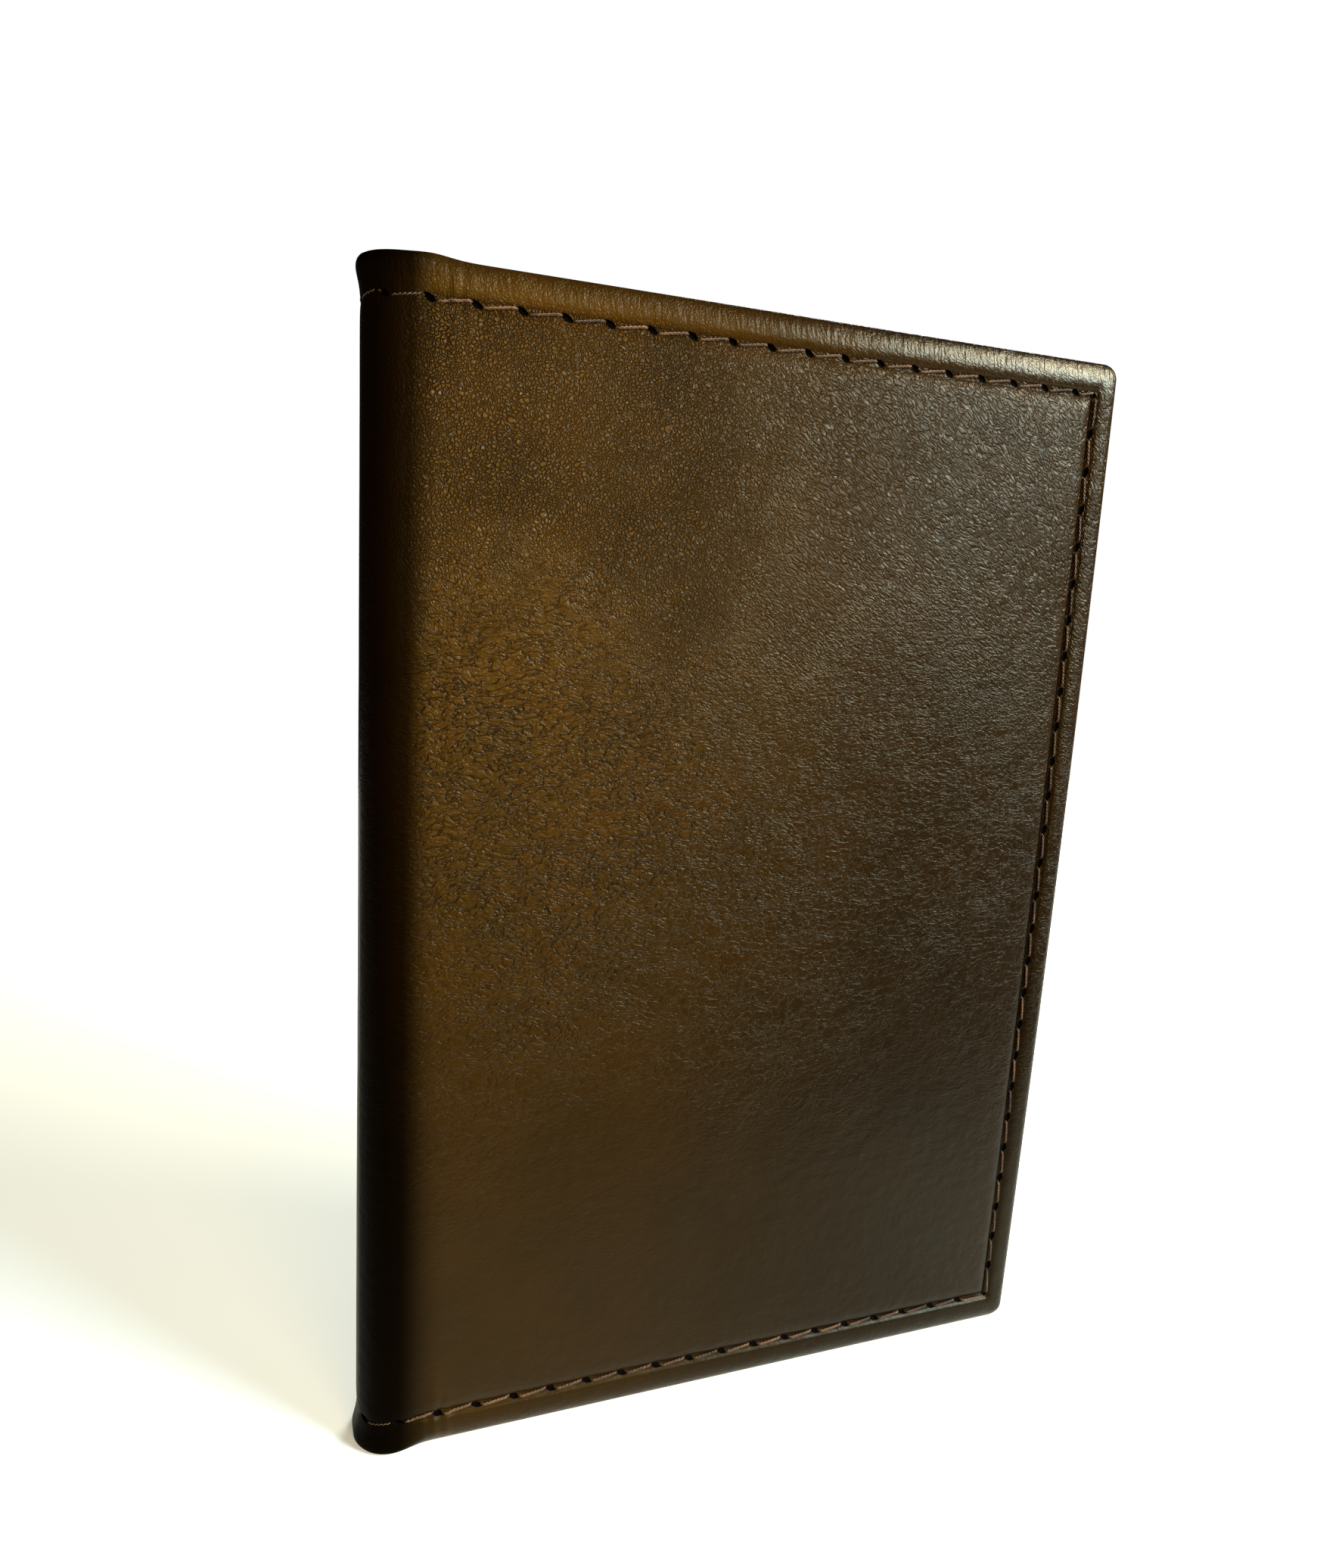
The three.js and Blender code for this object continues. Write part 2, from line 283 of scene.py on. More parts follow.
def seam_holes(side):
    """(u, v, slit's long direction) for each hole of a cover, in the order of sewing.

    The front is sewn out along the top from the spine, down the fore edge and back along the bottom.
    The back goes the other way round, as one row runs on across the spine.
    """
    high, low = HEIGHT - SEAM_V, SEAM_V
    top = [k * PITCH for k in range(TOP_STITCHES)]
    bottom = bottom_holes()[0 if side == FRONT else 1][:-1]
    fore = [high - k * PITCH for k in range(1, FORE_STITCHES)]
    right, left = slit_along((1, 0), TOP_SLANT), slit_along((-1, 0), BOTTOM_SLANT)
    if side == FRONT:
        down = slit_along((0, -1), FORE_SLANT)
        return ([(u, high, right) for u in top] + [(SEAM_U, high, corner_slit(right, down))]
                + [(SEAM_U, v, down) for v in fore]
                + [(SEAM_U, low, corner_slit(down, left))] + [(u, low, left) for u in reversed(bottom)])
    mirror = np.array([-1, 1])
    left, right, up = left * mirror, right * mirror, slit_along((0, 1), FORE_SLANT) * mirror
    return ([(u, low, left) for u in bottom] + [(SEAM_U, low, corner_slit(left, up))]
            + [(SEAM_U, v, up) for v in reversed(fore)]
            + [(SEAM_U, high, corner_slit(up, right))] + [(u, high, right) for u in reversed(top)])


# ---- The outer leather ----

def rim_distance(u, v):
    """Distance in from the outline, which has rounded fore corners."""
    du, dv = FORE_U - u, np.minimum(v, HEIGHT - v)
    corner = (du < CORNER) & (dv < CORNER)
    rounded = CORNER - np.hypot(CORNER - du, CORNER - dv)
    return np.maximum(np.where(corner, rounded, np.minimum(du, dv)), 0)


def seam_distance(u, v):
    """Distance from the row of stitches: positive outside it, negative inside."""
    du, dv = FORE_U - u - SEAM_FORE, np.minimum(v, HEIGHT - v) - SEAM_V
    inside = -np.minimum(du, dv)
    outside = np.hypot(np.maximum(-du, 0), np.maximum(-dv, 0))
    return np.where((du > 0) & (dv > 0), inside, outside)


def roll_depth(u, v, rim, board):
    """The rounding of the rim, down to half of the cover's thickness at its outline."""
    half = mix(SPINE_HEM_DEPTH, HEM_DEPTH, board) / 2
    by_end = smoothstep(-1, 2, FORE_U - u - np.minimum(v, HEIGHT - v))
    width = mix(SPINE_ROLL, mix(ROLL, END_ROLL, by_end), board)
    return half * (1 - np.sqrt(np.clip(1 - (1 - rim / width).clip(0, 1) ** 2, 0, 1)))


def seam_depth(u, v, board):
    """The leather is pinched at the seam, with a groove just inside it and a crest along the rim."""
    seam = seam_distance(u, v)
    pinch = mix(SPINE_PINCH, PINCH, board) * bell(seam, 0, np.where(seam > 0, *PINCH_WIDTHS))
    valley = VALLEY * board * bell(np.minimum(seam, 0), 0, VALLEY_WIDTH) * (seam < 0.5)
    crest_place = mix(SPINE_CREST_PLACE, CREST_PLACE, board)
    crest_width = mix(SPINE_CREST_WIDTH, CREST_WIDTH, board)
    crest = mix(SPINE_CREST, CREST, board) * bell(seam, crest_place, crest_width)
    by_fore = smoothstep(SEAM_U - 2, SEAM_U - 1, u)
    groove = mix(SPINE_GROOVE, mix(GROOVE, FORE_GROOVE, by_fore), board)
    groove = groove * bell(seam, GROOVE_PLACE, GROOVE_WIDTH)
    return pinch + valley + groove - crest


def face_depth(u, v, side):
    """How far the leather's face lies under the plain outline."""
    board = cover_share(u)
    rim = rim_distance(u, v)
    depth = roll_depth(u, v, rim, board) + seam_depth(u, v, board)
    for hole_u, hole_v, _ in seam_holes(side):
        depth = depth + DIMPLE * bell(np.hypot(u - hole_u, v - hole_v), 0, DIMPLE_WIDTH)
    past_board = smoothstep(BOARD_EDGE + 1.2, BOARD_EDGE - 1.5, u) * smoothstep(0, 4, u)
    calm = smoothstep(0.3, 2.5, u) * smoothstep(0.0, 2.0, rim)
    waves = sum(height * ripples(-side * u, v, length, seed) for height, length, seed in WAVES)
    return depth + BOARD_STEP * past_board + calm * (waves + creases(u, v))


def creases(u, v):
    """Short upright creases where the leather passes over the board's edge, near the top and bottom."""
    total = 0
    for end in (0.0, HEIGHT):
        from_end = np.abs(v - end)
        for offset, reach, height in CREASES:
            line = bell(u, BOARD_EDGE + offset, CREASE_WIDTH)
            total = total - height * line * smoothstep(reach + 3, 2.5, from_end)
    return total


def rim_lines(seam):
    """Distances from an edge for the mesh's lines: fine round the roll and finer across the seam."""
    turn = CORNER * (1 - np.cos(np.linspace(0, math.pi / 2, 8)))
    before, after = seam - 0.7, seam + 1.1
    outer = spaced(CORNER, before, 0.3)[1:]
    return np.concatenate([turn, outer, spaced(before, after, 0.15)[1:], spaced(after, 6.8, 0.4)[1:]])


def spaced(start, end, step):
    return np.linspace(start, end, max(2, round((end - start) / step) + 1))


def round_corner(u, v):
    """Moves the grid's points near a fore corner onto its round outline."""
    du, dv = FORE_U - u, np.minimum(v, HEIGHT - v)
    p, q = 1 - du / CORNER, 1 - dv / CORNER
    corner = (p > 0) & (q > 0)
    round_p = p * np.sqrt(np.clip(1 - q * q / 2, 0, 1))
    round_q = q * np.sqrt(np.clip(1 - p * p / 2, 0, 1))
    new_u = np.where(corner, FORE_U - CORNER * (1 - round_p), u)
    new_dv = np.where(corner, CORNER * (1 - round_q), dv)
    return new_u, np.where(v > HEIGHT / 2, HEIGHT - new_dv, new_dv)


def hem_rings():
    """(distance from the rim, share of the full depth) for lines from the rim to the hem's edge."""
    turn = np.linspace(0, math.pi / 2, 7)[1:]
    rings = [(ROLL * (1 - math.cos(a)), 0.5 + 0.5 * math.sin(a)) for a in turn]
    rings += [(d, 1.0) for d in np.arange(ROLL + 0.5, HEM - 0.2, 0.45)]
    rings += [(HEM - 0.12, 0.995), (HEM, 0.93)]
    return rings


def leather_grid(side):
    fore, ends = rim_lines(SEAM_FORE), rim_lines(SEAM_V)
    past_board = BOARD_EDGE + 3.0
    u_lines = np.concatenate([
        spaced(0, past_board, FINE_STEP)[:-1],
        spaced(past_board, FORE_U - fore[-1], PLAIN_STEP)[:-1],
        FORE_U - fore[::-1],
    ])
    v_lines = np.concatenate([
        ends[:-1],
        spaced(ends[-1], HEIGHT - ends[-1], PLAIN_STEP),
        (HEIGHT - ends[::-1])[1:],
    ])
    u, v = np.meshgrid(u_lines, v_lines, indexing="ij")
    u, v = round_corner(u, v)
    return u, v, face_depth(u, v, side)


def grid_faces(rows, columns):
    index = np.arange(rows * columns).reshape(rows, columns)
    corners = [index[:-1, :-1], index[1:, :-1], index[1:, 1:], index[:-1, 1:]]
    return [tuple(int(i) for i in face) for face in np.stack(corners, -1).reshape(-1, 4)], index


def hem_place(u, v, distance, where):
    """A rim point moved in by a distance along the hem, mitred at the fore corners."""
    if where == "corner":
        low = v < HEIGHT / 2
        centre_v = CORNER if low else HEIGHT - CORNER
        left = max(CORNER - distance, 0) / CORNER
        deep = max(distance - CORNER, 0)
        new_v = centre_v + (v - centre_v) * left + (deep if low else -deep)
        return FORE_U - CORNER + (u - FORE_U + CORNER) * left - deep, new_v
    if where == "fore":
        return FORE_U - distance, min(max(v, distance), HEIGHT - distance)
    new_v = distance if where == "bottom" else HEIGHT - distance
    return min(u, FORE_U - distance), new_v


def rim_stretch(u, v):
    """Which stretch of the outline a rim point is on."""
    near_fore = u > FORE_U - CORNER + TINY
    near_end = min(v, HEIGHT - v) < CORNER - TINY
    if near_fore:
        return "corner" if near_end else "fore"
    return "bottom" if v < HEIGHT / 2 else "top"


def hem_depth(u, v, distance, share):
    """Depth of a ring of the hem, which the seam pinches too."""
    full = mix(SPINE_HEM_DEPTH, HEM_DEPTH, cover_share(u))
    pinch = HEM_PINCH * bell(seam_distance(u, v), 0, SEAM_WIDTH_INSIDE) * (distance > ROLL)
    return full * share - pinch


def leather_sheet(name, side):
    """One half of the outer leather as a sheet: face, rolled rim and turned hem."""
    u, v, depth = leather_grid(side)
    faces, index = grid_faces(*u.shape)
    loop = list(index[:, 0]) + list(index[-1, 1:]) + list(index[-2::-1, -1])
    rim = [(u.flat[i], v.flat[i], rim_stretch(u.flat[i], v.flat[i])) for i in loop]
    rows = [(u.ravel(), v.ravel(), depth.ravel())]
    weights = [face_weights(u, v, depth).ravel()]
    previous, total = loop, u.size
    for distance, share in hem_rings():
        hem_u, hem_v = np.array([hem_place(u0, v0, distance, where) for u0, v0, where in rim]).T
        rows.append((hem_u, hem_v, hem_depth(hem_u, hem_v, distance, share)))
        weights.append(np.full(len(loop), HEM_WEIGHT))
        ring = list(range(total, total + len(loop)))
        faces += [(previous[k + 1], previous[k], ring[k], ring[k + 1]) for k in range(len(loop) - 1)]
        previous, total = ring, total + len(loop)
    points = place(*(np.concatenate(column) for column in zip(*rows)), side)
    return make_raw(name, points, faces, side), np.concatenate(weights)


def face_weights(u, v, depth):
    """The face leather is thinner where the seam presses it and round the rim."""
    rim = rim_distance(u, v)
    thickness = np.clip(LEATHER - depth, 0.15, LEATHER)
    return mix(HEM_LEATHER * 1.1, thickness, smoothstep(1.2, 2.6, rim)) / LEATHER


def make_raw(name, points, faces, side):
    """A mesh object straight from points and faces, before doubles are merged."""
    mesh = bpy.data.meshes.new(name)
    order = faces if side == FRONT else [tuple(reversed(f)) for f in faces]
    mesh.from_pydata([tuple(p) for p in points], [], [tuple(int(i) for i in f) for f in order])
    obj = bpy.data.objects.new(name, mesh)
    bpy.context.scene.collection.objects.link(obj)
    return obj


def merge_doubles(obj, distance=2e-6):
    work = bmesh.new()
    work.from_mesh(obj.data)
    bmesh.ops.remove_doubles(work, verts=work.verts, dist=distance)
    bmesh.ops.dissolve_degenerate(work, edges=work.edges, dist=distance)
    work.to_mesh(obj.data)
    work.free()


def turn_faces_out(obj):
    work = bmesh.new()
    work.from_mesh(obj.data)
    bmesh.ops.recalc_face_normals(work, faces=work.faces)
    work.to_mesh(obj.data)
    work.free()


def slit_cutters(side):
    """One lens-shaped prism for each hole, from above the leather down to just inside its back."""
    angles = np.linspace(0, 2 * math.pi, SLIT_SIDES, endpoint=False)
    ring = np.stack([np.cos(angles) * SLIT_LENGTH / 2, np.sin(angles) * SLIT_WIDTH / 2], -1)
    ring[:, 1] *= np.sqrt(1 - SLIT_TAPER * np.abs(np.cos(angles)))
    points, faces = [], []
    count = len(ring)
    for hole_u, hole_v, along in seam_holes(side):
        across = np.array([-along[1], along[0]])
        flat = np.array([hole_u, hole_v]) + ring[:, :1] * along + ring[:, 1:] * across
        base = len(points) * count
        for depth in (SLIT_TOP, SLIT_FLOOR):
            points.append(place(flat[:, 0], flat[:, 1], depth, side))
        faces.append(tuple(base + i for i in range(count)))
        faces.append(tuple(base + count + i for i in reversed(range(count))))
        for i in range(count):
            j = (i + 1) % count
            faces.append((base + i, base + count + i, base + count + j, base + j))
    return make_raw("slit_cutters", np.concatenate(points), faces, side)


def cut_slits(obj, side, materials):
    """Cuts the slits. Their walls and floors take the second material, which is painted near-black as shade
    in the holes.
    """
    cutters = slit_cutters(side)
    for material in materials:
        obj.data.materials.append(material)
        cutters.data.materials.append(material)
    cutters.data.polygons.foreach_set("material_index", [1] * len(cutters.data.polygons))
    turn_faces_out(cutters)
    cut = obj.modifiers.new("slits", "BOOLEAN")
    cut.operation = "DIFFERENCE"
    cut.solver = "MANIFOLD"
    cut.object = cutters
    apply_modifiers(obj)
    bpy.data.objects.remove(cutters)


def build_leather(name, side, materials):
    obj, weights = leather_sheet(name, side)
    thicken(obj, LEATHER, weights)
    cut_slits(obj, side, materials)
    smooth(obj)
    write_pattern(obj, side, hemmed=True)
    return obj


# ---- The inner sheets: lining and sleeves ----

def inner_sheet(name, side, u, v, depth, thickness, material):
    """A sheet whose visible face looks into the holder."""
    faces, _ = grid_faces(*u.shape)
    points = place(u.ravel(), v.ravel(), depth.ravel(), side)
    obj = make_raw(name, points, faces, -side)
    thicken(obj, thickness, np.ones(len(points)))
    smooth(obj)
    write_pattern(obj, side)
    obj.data.materials.append(material)
    return obj


LINING_EDGE = LEATHER + 0.05
LINING_THICKNESS = 0.2
LINING_WAVE = 0.02


def lining_depth(u, v):
    depth = mix(SPINE_LINING_DEPTH, LINING_DEPTH, cover_share(u))
    return depth - LINING_WAVE * ripples(u, v, 14, 21) * smoothstep(0, 3, u)


def build_lining(name, side, material):
    u_lines = np.concatenate([
        spaced(0, BOARD_EDGE + 2, FINE_STEP)[:-1],
        spaced(BOARD_EDGE + 2, FORE_U - LINING_EDGE, 1.5),
    ])
    v_lines = spaced(LINING_EDGE, HEIGHT - LINING_EDGE, 1.2)
    u, v = np.meshgrid(u_lines, v_lines, indexing="ij")
    return inner_sheet(name, side, u, v, lining_depth(u, v), LINING_THICKNESS, material)


SLEEVE_INSET = 1.2
SLEEVE_START = FOLD_END + sleeve_low.x - FOLD_X
SLEEVE_THICKNESS = 0.5
SLEEVE_TURN = 7.0
SLEEVE_PINCH = 0.22
SLEEVE_SKIVE = 0.32
SLEEVE_ROUND = 0.30
SLEEVE_TURN_DROP = 0.10
SLEEVE_CREASE = 0.07
SLEEVE_LIFT = 0.18
SLEEVE_WAVE = 0.03
# Distances from a sewn edge for the mesh's lines: close where the edge thins and where the seam presses.
SLEEVE_LINES = np.array([0, 0.15, 0.3, 0.5, 0.75, 1.1, 1.5, 1.9, 2.3, 2.7, 3.1, 3.5, 4.0, 4.6])


def sleeve_depth(u, v):
    """The sleeve's visible face: pressed in at the seam, thin at its sewn edges, turned at its open edge."""
    free = u - SLEEVE_START
    sewn = np.minimum(FORE_U - u, np.minimum(v, HEIGHT - v)) - SLEEVE_INSET
    seam = seam_distance(u, v)
    pressed = SLEEVE_PINCH * bell(seam, 0, SEAM_WIDTH_INSIDE)
    thinned = SLEEVE_SKIVE * (1 - smoothstep(0, 0.7, sewn))
    rounded = SLEEVE_ROUND * (1 - np.sqrt(np.clip(1 - (1 - free / 0.6).clip(0, 1) ** 2, 0, 1)))
    turned_in = SLEEVE_TURN_DROP * (1 - smoothstep(SLEEVE_TURN - 0.6, SLEEVE_TURN + 0.6, free))
    creased = SLEEVE_CREASE * bell(free, 2.4, 0.25)
    lifted = SLEEVE_LIFT * smoothstep(30, 0, free) * smoothstep(SEAM_V, 40, np.minimum(v, HEIGHT - v))
    waves = SLEEVE_WAVE * ripples(u, v, 24, 33) * smoothstep(0.5, 6, sewn)
    return SLEEVE_DEPTH - pressed - thinned - rounded + turned_in - creased + lifted + waves


def build_sleeve(name, side, material):
    edge = SLEEVE_LINES
    free_edge = np.concatenate([edge[:6], np.arange(1.4, 3.4, 0.16), np.arange(3.6, 8.4, 0.4)])
    right = FORE_U - SLEEVE_INSET
    u_lines = np.concatenate([
        SLEEVE_START + free_edge,
        spaced(SLEEVE_START + 8.8, right - 5.2, 1.0),
        right - edge[::-1],
    ])
    v_lines = np.concatenate([
        SLEEVE_INSET + edge,
        spaced(SLEEVE_INSET + 5.2, HEIGHT - SLEEVE_INSET - 5.2, 1.0),
        HEIGHT - SLEEVE_INSET - edge[::-1],
    ])
    u, v = np.meshgrid(u_lines, v_lines, indexing="ij")
    return inner_sheet(name, side, u, v, sleeve_depth(u, v), SLEEVE_THICKNESS, material)


# ---- Thread ----

PLIES = 3
PLY_RADIUS = 0.082
PLY_OFFSET = 0.088
TWIST = 1.5
STITCH_STEPS = 26
PLY_SIDES = 6
# A stitch starts and ends this far from its holes' middles, and dives this deep within this reach of its end.
OUTSIDE_START = SLIT_LENGTH * 0.40
INSIDE_START = 0.3
DIVE = 0.42
DIVE_REACH = 0.22


def outside_level(side):
    """Depth of the thread's middle over the outer leather."""
    return lambda u, v: (face_depth(np.abs(u), v, side) - THREAD_RADIUS
                         + mix(SPINE_SINK, COVER_SINK, cover_share(np.abs(u))))


def inside_level(u, v):
    """Depth of the thread's middle over the hem, and over the sleeve past its open edge."""
    hem = mix(SPINE_HEM_DEPTH, HEM_DEPTH, cover_share(np.abs(u))) - HEM_PINCH
    sleeve = SLEEVE_DEPTH - SLEEVE_PINCH
    share = smoothstep(SLEEVE_START - 1.0, SLEEVE_START + 0.1, u)
    return mix(hem, sleeve, share) + THREAD_RADIUS - INSIDE_SINK


def stitch_line(start, end, level, dive):
    """A stitch's middle line on the pattern: out of one hole, over the surface and into the next."""
    t = np.linspace(0, 1, STITCH_STEPS)
    length = np.linalg.norm(end - start)
    from_end = np.minimum(t, 1 - t) * length
    u, v = (start + (end - start) * t[:, None]).T
    return u, v, level(u, v) + dive * bell(from_end, 0, DIVE_REACH)


def ply_mesh(line, inward, phase):
    """Points of one stitch's twisted plies, as rings of a tube: plies, steps, sides, xyz."""
    step = np.gradient(line, axis=0)
    tangent = step / np.linalg.norm(step, axis=1, keepdims=True)
    side = np.cross(tangent, inward)
    side /= np.linalg.norm(side, axis=1, keepdims=True)
    normal = np.cross(side, tangent)
    run = np.concatenate([[0], np.cumsum(np.linalg.norm(np.diff(line, axis=0), axis=1))])
    ring = np.linspace(0, 2 * math.pi, PLY_SIDES, endpoint=False)
    plies = []
    for ply in range(PLIES):
        turn = (2 * math.pi * (run / (TWIST * MM) + ply / PLIES) + phase)[:, None]
        centre = line + PLY_OFFSET * MM * (np.cos(turn) * side + np.sin(turn) * normal)
        around = np.cos(ring)[None, :, None] * side[:, None] + np.sin(ring)[None, :, None] * normal[:, None]
        plies.append(centre[:, None] + PLY_RADIUS * MM * around)
    return np.array(plies)


def tube_faces(base, steps, sides):
    faces = [tuple(base + i for i in range(sides))]
    for row in range(steps - 1):
        for i in range(sides):
            a, b = base + row * sides + i, base + row * sides + (i + 1) % sides
            faces.append((b, a, a + sides, b + sides))
    last = base + (steps - 1) * sides
    faces.append(tuple(last + i for i in reversed(range(sides))))
    return faces


def stitch_ends(first, second, slanted):
    """A stitch's two ends on the pattern. Outside, they lie in their slits' ends."""
    (*from_hole, from_along), (*to_hole, to_along) = first, second
    start, end = np.array(from_hole), np.array(to_hole)
    if slanted:
        return start + from_along * OUTSIDE_START, end - to_along * OUTSIDE_START
    travel = (end - start) / np.linalg.norm(end - start)
    return start + travel * INSIDE_START, end - travel * INSIDE_START


def build_stitches(name, side, level, dive, slanted, material):
    """All of a cover's stitches on one face. The front's bottom row runs on across the spine."""
    holes = seam_holes(side)
    if side == FRONT:
        across_u = bottom_holes()[1][0]
        holes = holes + [(-across_u, SEAM_V, slit_along((-1, 0), BOTTOM_SLANT))]
    points, faces, total = [], [], 0
    rng = np.random.default_rng(7)
    for first, second in zip(holes, holes[1:]):
        u, v, depth = stitch_line(*stitch_ends(first, second, slanted), level, dive)
        line = place(u, v, depth, side)
        inward = place(u, v, depth + 1, side) - line
        for ply in ply_mesh(line, inward / MM, rng.uniform(0, 2 * math.pi)):
            points.append(ply.reshape(-1, 3))
            faces += tube_faces(total, STITCH_STEPS, PLY_SIDES)
            total += STITCH_STEPS * PLY_SIDES
    obj = make_raw(name, np.concatenate(points), faces, FRONT)
    turn_faces_out(obj)
    smooth(obj, 60)
    obj.data.materials.append(material)
    return obj


# ---- Materials ----

def node(tree, kind, inputs=None, **settings):
    """Adds a node. An input is a value, or an output socket to link from."""
    made = tree.nodes.new("ShaderNode" + kind)
    for name, value in settings.items():
        setattr(made, name, value)
    for key, value in (inputs or {}).items():
        socket = made.inputs[key]
        if isinstance(value, bpy.types.NodeSocket):
            tree.links.new(value, socket)
        else:
            socket.default_value = value
    return made


def maths(tree, operation, *values):
    return node(tree, "Math", dict(enumerate(values)), operation=operation).outputs[0]


def ramp(tree, value, low, high, start=0.0, end=1.0):
    """A smooth ramp of a value between two limits."""
    inputs = {"Value": value, "From Min": low, "From Max": high, "To Min": start, "To Max": end}
    return node(tree, "MapRange", inputs, interpolation_type="SMOOTHSTEP").outputs["Result"]


def mix_colours(tree, share, first, second):
    """Blends two colours. Each is a tuple, or an output socket to link from."""
    first, second = ((*c, 1.0) if isinstance(c, tuple) else c for c in (first, second))
    return node(tree, "Mix", {0: share, 6: first, 7: second}, data_type="RGBA").outputs[2]


def new_material(name):
    material = bpy.data.materials.new(name)
    material.use_nodes = True
    return material, material.node_tree, material.node_tree.nodes["Principled BSDF"]


def pattern_space(tree):
    return node(tree, "Attribute", attribute_name="pattern").outputs["Vector"]


def noise(tree, place_on, scale, detail=2.0, roughness=0.5):
    inputs = {"Vector": place_on, "Scale": scale, "Detail": detail, "Roughness": roughness}
    return node(tree, "TexNoise", inputs).outputs["Fac"]


def scaled(tree, place_on, factors):
    return node(tree, "VectorMath", {0: place_on, 1: factors}, operation="MULTIPLY").outputs[0]


def cells(tree, place_on, scale, width):
    """Rounded cells with creases between them: 0 in a crease and 1 on a cell."""
    inputs = {"Vector": place_on, "Scale": scale}
    made = node(tree, "TexVoronoi", inputs, feature="DISTANCE_TO_EDGE")
    return ramp(tree, made.outputs["Distance"], 0.0, width)


def wrinkles(tree, place_on, scale, width):
    """Wandering creases, where a noise passes its middle: 0 in a crease and 1 beside it."""
    from_middle = maths(tree, "ABSOLUTE", maths(tree, "SUBTRACT", noise(tree, place_on, scale), 0.5))
    return ramp(tree, from_middle, 0.0, width)


def wander(tree, place_on, scale, reach):
    """Shifts a pattern by a noise, so that its lines wander."""
    made = node(tree, "TexNoise", {"Vector": place_on, "Scale": scale, "Detail": 2.0})
    centred = node(tree, "VectorMath", {0: made.outputs["Color"], 1: (0.5, 0.5, 0.5)}, operation="SUBTRACT")
    moved = node(tree, "VectorMath", {0: centred.outputs[0], "Scale": reach}, operation="SCALE")
    return node(tree, "VectorMath", {0: place_on, 1: moved.outputs[0]}, operation="ADD").outputs[0]


def turned(tree, place_on, degrees, stretch):
    """The pattern turned by an angle, then squeezed along its new first axis."""
    inputs = {"Vector": place_on, "Angle": math.radians(degrees)}
    spun = node(tree, "VectorRotate", inputs, rotation_type="Z_AXIS").outputs[0]
    return scaled(tree, spun, (1 / stretch, 1.0, 1.0))


def all_of(tree, *shares):
    result = shares[0]
    for share in shares[1:]:
        result = maths(tree, "MULTIPLY", result, share)
    return result


def blend_values(tree, share, first, second):
    return node(tree, "Mix", {0: share, 2: first, 3: second}).outputs[0]


def hide_grain(tree, flat, high, reach):
    """Three kinds of creases, each where it lies on the hide: 1 on a pebble, 0 in a crease.

    Round pebbles lie near the top, level creases below them and slanting ones by the upper fore
    corner. `high` is the height in mm, with its borders blurred, and `reach` is the distance in mm
    from the middle of the spine.
    """
    wandering = wander(tree, wander(tree, flat, 0.16, 3.0), 1.1, 0.7)
    pebbles = cells(tree, wandering, 2.5, 0.32)
    lengthwise = turned(tree, wandering, -6, 2.8)
    level = blend_values(tree, 0.6, cells(tree, lengthwise, 2.1, 0.30), wrinkles(tree, lengthwise, 1.1, 0.07))
    slanted = cells(tree, turned(tree, wander(tree, flat, 0.3, 1.6), 34, 3.4), 2.6, 0.24)
    near_top = ramp(tree, high, 118.0, 142.0)
    by_corner = all_of(tree, ramp(tree, high, 105.0, 140.0), ramp(tree, reach, 38.0, 62.0))
    return blend_values(tree, by_corner, blend_values(tree, near_top, level, pebbles), slanted)


def grain_strength(tree, flat, high, height, reach):
    """How deep the grain is: patchy, slight on the lower third, the spine and the top roll."""
    patchy = ramp(tree, noise(tree, flat, 0.06, 3.0), 0.3, 0.7, 0.8, 1.15)
    above_third = ramp(tree, high, 46.0, 100.0, 0.12, 1.0)
    towards_spine = ramp(tree, reach, 25.0, 75.0, 1.5, 0.75)
    off_spine = ramp(tree, reach, 6.5, 10.0, 0.2, 1.0)
    below_roll = ramp(tree, height, HEIGHT - 4.2, HEIGHT - 3.2, 1.0, 0.25)
    return all_of(tree, patchy, above_third, towards_spine, off_spine, below_roll)


def hide_relief(tree, flat, height, grain, grain_depth, fine):
    """The heights for the bump: grain, fine pores, soft swells and the top roll's ribs."""
    soft = noise(tree, flat, 0.5, 3.0)
    ribs = noise(tree, turned(tree, flat, 82, 5.0), 2.0, 2.0)
    on_roll = ramp(tree, height, HEIGHT - 3.8, HEIGHT - 2.6)
    relief = all_of(tree, grain, grain_depth)
    for wave, share in ((fine, 0.3), (soft, 1.4)):
        relief = maths(tree, "MULTIPLY_ADD", wave, share * grain_depth, relief)
    return maths(tree, "ADD", relief, all_of(tree, ribs, on_roll, 1.6 * grain_depth))


def seam_groove_shade_and_dullness(tree, height, reach):
    """0 along the spine side of the seam groove, where the colour is painted dark as shade and the shine is
    turned down, and 1 off it.
    """
    from_seam = maths(tree, "ABSOLUTE", maths(tree, "SUBTRACT", reach, SEAM_U - 0.30))
    beside_seam = all_of(tree, ramp(tree, from_seam, 0.12, 0.30, 0.9, 0.0),
                         ramp(tree, height, SEAM_V - 0.5, SEAM_V, 0.0, 1.0),
                         ramp(tree, height, HEIGHT - SEAM_V, HEIGHT - SEAM_V + 0.5, 1.0, 0.0))
    return maths(tree, "SUBTRACT", 1.0, beside_seam)


def painted_light_and_shade(tree, height, reach):
    """Painted light and shade in the hide's colour: brightest beside the spine and high up, darkest at the
    fore edge, low down and on the top edge's rim.
    """
    towards_spine = ramp(tree, reach, 10.0, 80.0, 1.8, 0.45)
    high_up = ramp(tree, height, 18.0, 125.0, 0.25, 1.0)
    below_edge = ramp(tree, height, HEIGHT - 2.8, HEIGHT, 1.0, 0.4)
    return all_of(tree, towards_spine, high_up, below_edge)


